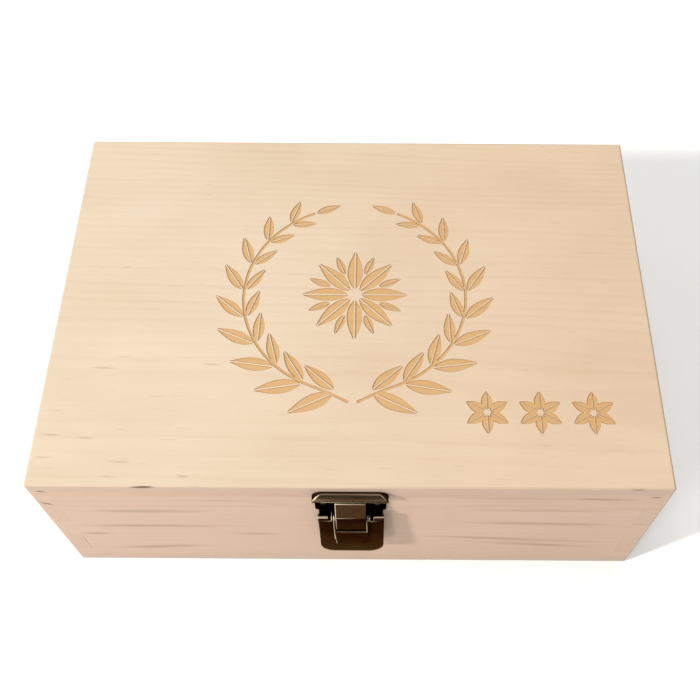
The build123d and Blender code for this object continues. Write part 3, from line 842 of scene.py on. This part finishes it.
class BOX_OT_engraved_lid(bpy.types.Operator):
    """Cut a leaf wreath, a rosette and a row of small rosettes into the lid's top panel"""

    bl_idname = "keepsake_box.engraved_lid"
    bl_label = "Engraved lid"

    def execute(self, context):
        look = context.scene.box_engraving
        pine_look = context.scene.box_pine
        plain = pine("Planed pine, top panel", pine_look.panel_wood, TOP_PANEL, top_panel=True)
        tones = (look.burnt_wood, look.scorched_edge)
        burnt = pine("Engraved pine, golden brown", pine_look.panel_wood, ENGRAVED_PANEL, scorch=tones)

        leaf = look.leaf_length / MM
        radius = look.rosette_radius / MM
        rows = wreath_leaves(look)
        rows += petals(WREATH_CENTRE, 0.13 * radius, radius, leaf, 8, math.pi / 2)
        rows += petals(WREATH_CENTRE, 0.5 * radius, 0.95 * radius, leaf, 8, math.pi * 5 / 8)
        cut = {
            "Length": look.leaf_length, "Blade width": look.blade_width, "Midrib": look.midrib,
            "Depth": look.depth, "Material": burnt,
        }
        tree = leaf_tree()
        leaves = grown(tree, points_mesh("leaf places", rows), cut)

        small = look.small_radius / MM
        rows = []
        for step in (-1, 0, 1):
            place = (ROW_CENTRE[0] + step * look.small_spacing / MM, ROW_CENTRE[1])
            rows += petals(place, 0.12 * small, small, leaf, 6, math.pi / 2)
        petal_cut = {**cut, "Blade width": look.petal_width}
        small_leaves = grown(tree, points_mesh("petal places", rows), petal_cut)

        stem_cut = {"Width": look.stem_width, "Depth": look.depth, "Material": burnt}
        stems = grown(stem_tree(), points_mesh("stem lines", *wreath_stems(look)), stem_cut)

        mesh = eased_mesh(frame["nodes"]["lid_top_panel"], pine_look.edge_ease, SHORT_EDGE)
        mesh.materials.append(plain)
        panel = put_in_scene("lid panel blank", mesh)
        for cutter_mesh in (leaves, small_leaves, stems):
            panel.data = carved_with(panel, cutter_mesh)
        carved = panel.data
        bpy.data.objects.remove(panel)
        soften(carved)
        for face in carved.polygons:
            if abs(face.normal.z) > LEVEL:
                face.use_smooth = False
        dressed("lid_top_panel", "engraved", carved)
        return {"FINISHED"}


# Metal

LATCH_PARTS = (
    "latch_base_plate", "latch_lever", "latch_strap", "latch_lever_pin", "latch_strap_pin", "latch_keeper",
)
HINGE_PARTS = (
    "left_hinge_base_leaf", "left_hinge_lid_leaf", "left_hinge_pin",
    "right_hinge_base_leaf", "right_hinge_lid_leaf", "right_hinge_pin",
)
FRONT_SCREWS = ("latch_plate_screws", "keeper_screws")
BACK_SCREWS = ("hinge_base_screws", "hinge_lid_screws")

# The lever's rolled top edges stand above this. More faces of the left one, which faces the key light,
# take the rubbed bronze: partly wear, partly a painted highlight
ROLLED_EDGE_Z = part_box("latch_lever_pin")[0].z
# Painted shade: the latch's plates, along Y, and all that is below the keeper's bar, along Z, are painted
# near black as the shade under the bar
KEEPER_LOW, KEEPER_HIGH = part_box("latch_keeper")
RECESS = (KEEPER_HIGH.y - 1.3 * MM, (KEEPER_LOW.z + KEEPER_HIGH.z) / 2)

# How rough each finish is
BRONZE_ROUGH = 0.34
RUBBED_ROUGH = 0.48
SCREW_ROUGH = 0.36


def metal_parts(names, context, recess=()):
    """Dress metal nodes in bronze, with their edges eased."""
    look = context.scene.box_bronze
    for name in names:
        title = name.replace("_", " ")
        ease = look.strap_ease if name == "latch_strap" else look.edge_ease
        crowded = SHORT_EDGE if name == "latch_lever" else 0.0
        mesh = eased_mesh(frame["nodes"][name], ease, crowded, 1)
        mesh.materials.append(bronze(f"Antique bronze, {title}", look, BRONZE_ROUGH, recess))
        # The second finish, on the eased faces: worn metal, bright only where it faces the key light, partly
        # a painted highlight
        mesh.materials.append(bronze(f"Rubbed bronze, {title}", look, RUBBED_ROUGH, recess, eased=True))
        if name == "latch_lever":
            for face in mesh.polygons:
                # Painted highlight: the left edge, towards the key light, takes the bright rubbed bronze on
                # more of its faces
                least = 0.25 if face.center.x < 0 else 0.8
                if face.center.z > ROLLED_EDGE_Z and face.normal.z > least:
                    face.material_index = 1
        dressed(name, "metal", mesh)


class BOX_OT_latch(bpy.types.Operator):
    """Dress the toggle latch in antique bronze"""

    bl_idname = "keepsake_box.latch"
    bl_label = "Toggle latch"

    def execute(self, context):
        metal_parts(LATCH_PARTS, context, RECESS)
        return {"FINISHED"}


class BOX_OT_hinges(bpy.types.Operator):
    """Dress the two butt hinges in antique bronze"""

    bl_idname = "keepsake_box.hinges"
    bl_label = "Hinges"

    def execute(self, context):
        metal_parts(HINGE_PARTS, context)
        return {"FINISHED"}


def screw_tree():
    """A tree that puts a cross-head screw at each point."""
    tree, given = new_tree("Cross-head screws", [
        "Head radius", "Head height", "Shank radius", "Shank length", "Slot width", "Slot depth",
        "Turn", "Seed",
    ])
    ball = node(tree, "GeometryNodeMeshUVSphere", {"Segments": 32, "Rings": 16, "Radius": 1.0})
    spot = node(tree, "ShaderNodeSeparateXYZ", {0: node(tree, "GeometryNodeInputPosition")})
    raised = maths(tree, "MAXIMUM", spot.outputs["Z"], 0.0)
    x = maths(tree, "MULTIPLY", spot.outputs["X"], given["Head radius"])
    y = maths(tree, "MULTIPLY", spot.outputs["Y"], given["Head radius"])
    z = maths(tree, "MULTIPLY", raised, given["Head height"])
    shaped = xyz(tree, x, y, z)
    dome = node(tree, "GeometryNodeSetPosition", {"Geometry": ball.outputs["Mesh"], "Position": shaped})
    reach = maths(tree, "MULTIPLY", given["Head radius"], 1.25)
    deep = maths(tree, "MULTIPLY", given["Slot depth"], 2.0)
    top = xyz(tree, z=given["Head height"])
    cross = []
    for sizes in ((reach, given["Slot width"], deep), (given["Slot width"], reach, deep)):
        arm = node(tree, "GeometryNodeMeshCube", {"Size": xyz(tree, *sizes)})
        cross.append(node(tree, "GeometryNodeTransform", {
            "Geometry": arm.outputs["Mesh"], "Translation": top,
        }))
    head = dome
    for arm in cross:
        cut = node(tree, "GeometryNodeMeshBoolean", {
            "Mesh 1": head,
        }, operation="DIFFERENCE", solver="EXACT")
        tree.links.new(arm.outputs[0], cut.inputs["Mesh 2"])
        head = cut
    rod = node(tree, "GeometryNodeMeshCylinder", {
        "Vertices": 24, "Radius": given["Shank radius"], "Depth": given["Shank length"],
    })
    down = xyz(tree, z=maths(tree, "MULTIPLY", given["Shank length"], -0.5))
    shank = node(tree, "GeometryNodeTransform", {"Geometry": rod.outputs["Mesh"], "Translation": down})
    screw = node(tree, "GeometryNodeJoinGeometry", {0: head.outputs["Mesh"]})
    tree.links.new(shank.outputs[0], screw.inputs[0])
    turned = xyz(tree, given["Turn"])
    screws = node(tree, "GeometryNodeInstanceOnPoints", {
        "Points": given["Geometry"], "Instance": screw, "Rotation": turned,
    })
    spin = node(tree, "FunctionNodeRandomValue", {
        "Max": math.pi / 2, "Seed": given["Seed"],
    }, data_type="FLOAT")
    twist = xyz(tree, z=spin.outputs["Value"])
    spun = node(tree, "GeometryNodeRotateInstances", {
        "Instances": screws, "Rotation": twist, "Local Space": True,
    })
    finish_tree(tree, given, spun)
    return tree


def screw_places(name):
    """The lowest and highest corner of each screw of a CAD node."""
    shape = bmesh.new()
    shape.from_mesh(frame["nodes"][name].data)
    bmesh.ops.remove_doubles(shape, verts=shape.verts, dist=MERGE)
    left = set(shape.verts)
    places = []
    while left:
        island = [left.pop()]
        for vert in island:
            for edge in vert.link_edges:
                other = edge.other_vert(vert)
                if other in left:
                    left.remove(other)
                    island.append(other)
        spots = [vert.co for vert in island]
        low = Vector([min(spot[axis] for spot in spots) for axis in range(3)])
        high = Vector([max(spot[axis] for spot in spots) for axis in range(3)])
        places.append((low, high))
    shape.free()
    return sorted(places, key=lambda corners: tuple(corners[0]))


class BOX_OT_screws(bpy.types.Operator):
    """Set cross-head screws in the latch and the hinges"""

    bl_idname = "keepsake_box.screws"
    bl_label = "Screws"

    def execute(self, context):
        look = context.scene.box_screws
        metal = context.scene.box_bronze
        # The latch screws sit under the keeper's bar and take its painted shade
        head_recess = (RECESS[0] - 1 * MM, RECESS[1])
        front_finish = bronze("Antique bronze, latch screws", metal, SCREW_ROUGH, head_recess)
        back_finish = bronze("Antique bronze, hinge screws", metal, SCREW_ROUGH)
        tree = screw_tree()
        for names, outward, finish in ((FRONT_SCREWS, -1, front_finish), (BACK_SCREWS, 1, back_finish)):
            for name in names:
                rows = []
                for low, high in screw_places(name):
                    seat = high.y - look.head_height if outward > 0 else low.y + look.head_height
                    middle = (low + high) / 2
                    rows.append((Vector((middle.x, seat, middle.z)) / MM, 0.0, 1.0))
                    radius = (high.x - low.x) / 2
                    shank = high.y - low.y - look.head_height
                mesh = grown(tree, points_mesh("screw places", rows), {
                    "Head radius": radius, "Head height": look.head_height,
                    "Shank radius": look.shank_radius, "Shank length": shank,
                    "Slot width": look.slot_width, "Slot depth": look.slot_depth,
                    "Turn": -outward * math.pi / 2, "Seed": len(name), "Material": finish,
                })
                soften(mesh)
                dressed(name, "cross_head", mesh)
        return {"FINISHED"}


# Stage

# The camera, fitted to six corners of the box: picture sizes in pixels, its place in metres
IMAGE_SIZE = 700
FOCAL_PIXELS = 953.35
CENTRE_PIXELS = (377.4, 345.87)
CAMERA_PLACE = Vector((0.0118, -0.27019, 0.51416))
CAMERA_YAW = math.radians(0.111)
CAMERA_DOWN = math.radians(59.53)
CAMERA_ROLL = math.radians(0.451)
SENSOR_WIDTH = 36.0

# Where two lamps stand from the latch and one from the origin, their widths and the floor's reach, in metres
KEY_PLACE = Vector((-27.0, -10.5, 16.4)).normalized() * 2.2
WINDOW_PLACE = Vector((-9.0, -10.0, 4.0)).normalized() * 2.6
OVERHEAD_PLACE = Vector((0.1, 0.35, 1.7))
OVERHEAD_TARGET = Vector((0.0, 0.0, 0.08))
KEY_WIDTH = 0.16
WINDOW_WIDTH = 0.43
OVERHEAD_WIDTH = 1.1
FLOOR_REACH = 3.0
FLOOR_GAP = 0.1 * MM


def camera_turn():
    """The camera's axes, from its yaw, its angle below the horizon and its roll."""
    ahead = Vector((
        math.sin(CAMERA_YAW) * math.cos(CAMERA_DOWN),
        math.cos(CAMERA_YAW) * math.cos(CAMERA_DOWN),
        -math.sin(CAMERA_DOWN),
    ))
    right = Vector((math.cos(CAMERA_YAW), -math.sin(CAMERA_YAW), 0.0))
    above = right.cross(ahead)
    rolled_right = right * math.cos(CAMERA_ROLL) + above * math.sin(CAMERA_ROLL)
    rolled_above = above * math.cos(CAMERA_ROLL) - right * math.sin(CAMERA_ROLL)
    return Matrix((rolled_right, rolled_above, -ahead)).transposed()


def lamp(name, place, target, width, power, tint):
    """A square soft light that faces a target."""
    data = bpy.data.lights.new(name, "AREA")
    data.shape = "SQUARE"
    data.size = width
    data.energy = power
    data.color = tint
    made = bpy.data.objects.new(name, data)
    made.location = place
    made.rotation_euler = (target - place).to_track_quat("-Z", "Y").to_euler()
    bpy.context.scene.collection.objects.link(made)


def table_finish(look):
    """Matt white paint with the faintest grain."""
    material, tree = empty_material("Matt white table")
    place = node(tree, "ShaderNodeTexCoord")
    grain = node(tree, "ShaderNodeTexNoise", {"Vector": place.outputs["Object"], "Scale": 60.0})
    toned = vectors(tree, "MULTIPLY", look.floor, span(tree, grain, 0.0, 1.0, 0.985, 1.0))
    paint = node(tree, "ShaderNodeBsdfPrincipled", {"Base Color": toned, "Roughness": 0.9})
    node(tree, "ShaderNodeOutputMaterial", {"Surface": paint})
    return material


class BOX_OT_stage(bpy.types.Operator):
    """Set the floor, the lights and the camera"""

    bl_idname = "keepsake_box.stage"
    bl_label = "Stage"

    def execute(self, context):
        look = context.scene.box_stage
        scene = context.scene
        scene.view_settings.view_transform = "Standard"
        world = bpy.data.worlds.new("Room")
        world.use_nodes = True
        background = world.node_tree.nodes["Background"]
        background.inputs["Color"].default_value = (*look.sky, 1.0)
        background.inputs["Strength"].default_value = look.sky_strength
        scene.world = world

        mesh = bpy.data.meshes.new("floor")
        z = cad_low.z - FLOOR_GAP
        around = ((-1, -1), (1, -1), (1, 1), (-1, 1))
        mesh.from_pydata([(x * FLOOR_REACH, y * FLOOR_REACH, z) for x, y in around], [], [(0, 1, 2, 3)])
        mesh.materials.append(table_finish(look))
        put_in_scene("floor", mesh)

        latch_low, latch_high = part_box("latch_lever")
        latch = (latch_low + latch_high) / 2
        lamp("key light", latch + KEY_PLACE, latch, KEY_WIDTH, look.key_power, (1.0, 0.98, 0.95))
        lamp("window light", latch + WINDOW_PLACE, latch, WINDOW_WIDTH, look.window_power, (1.0, 0.99, 0.97))
        lamp(
            "overhead light", OVERHEAD_PLACE, OVERHEAD_TARGET, OVERHEAD_WIDTH, look.overhead_power,
            (1.0, 1.0, 0.99),
        )

        data = bpy.data.cameras.new("camera")
        data.sensor_width = SENSOR_WIDTH
        data.lens = FOCAL_PIXELS * data.sensor_width / IMAGE_SIZE
        data.shift_x = (IMAGE_SIZE / 2 - CENTRE_PIXELS[0]) / IMAGE_SIZE
        data.shift_y = (CENTRE_PIXELS[1] - IMAGE_SIZE / 2) / IMAGE_SIZE
        data.clip_start = 0.01
        camera = bpy.data.objects.new("camera", data)
        camera.matrix_world = Matrix.Translation(CAMERA_PLACE) @ camera_turn().to_4x4()
        scene.collection.objects.link(camera)
        scene.camera = camera
        return {"FINISHED"}


# Panel


class BOX_PT_panel(bpy.types.Panel):
    """The sizes, the colours and the steps of the box"""

    bl_idname = "BOX_PT_panel"
    bl_label = "Keepsake box"
    bl_space_type = "VIEW_3D"
    bl_region_type = "UI"
    bl_category = "Keepsake box"

    def draw(self, context):
        layout = self.layout
        for title, group, steps in PANEL_ROWS:
            section = layout.box()
            section.label(text=title)
            settings = getattr(context.scene, group)
            for name in settings.bl_rna.properties.keys():
                if name not in ("rna_type", "name"):
                    section.prop(settings, name)
            for step in steps:
                section.operator(step.bl_idname)


PANEL_ROWS = (
    ("Pine", "box_pine", (BOX_OT_boards,)),
    ("Engraving", "box_engraving", (BOX_OT_engraved_lid,)),
    ("Bronze", "box_bronze", (BOX_OT_latch, BOX_OT_hinges)),
    ("Screws", "box_screws", (BOX_OT_screws,)),
    ("Stage", "box_stage", (BOX_OT_stage,)),
)
GROUPS = {
    "box_pine": PineSettings,
    "box_engraving": EngravingSettings,
    "box_bronze": BronzeSettings,
    "box_screws": ScrewSettings,
    "box_stage": StageSettings,
}
OPERATORS = (
    BOX_OT_boards,
    BOX_OT_engraved_lid,
    BOX_OT_latch,
    BOX_OT_hinges,
    BOX_OT_screws,
    BOX_OT_stage,
)


def register():
    for kind in (*GROUPS.values(), *OPERATORS, BOX_PT_panel):
        bpy.utils.register_class(kind)
    for name, group in GROUPS.items():
        setattr(bpy.types.Scene, name, PointerProperty(type=group))


def unregister():
    for name in GROUPS:
        delattr(bpy.types.Scene, name)
    for kind in reversed((*GROUPS.values(), *OPERATORS, BOX_PT_panel)):
        bpy.utils.unregister_class(kind)


def main():
    """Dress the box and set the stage."""
    register()
    for operator in OPERATORS:
        area, step = operator.bl_idname.split(".")
        getattr(getattr(bpy.ops, area), step)()


if __name__ == "__main__":
    main()
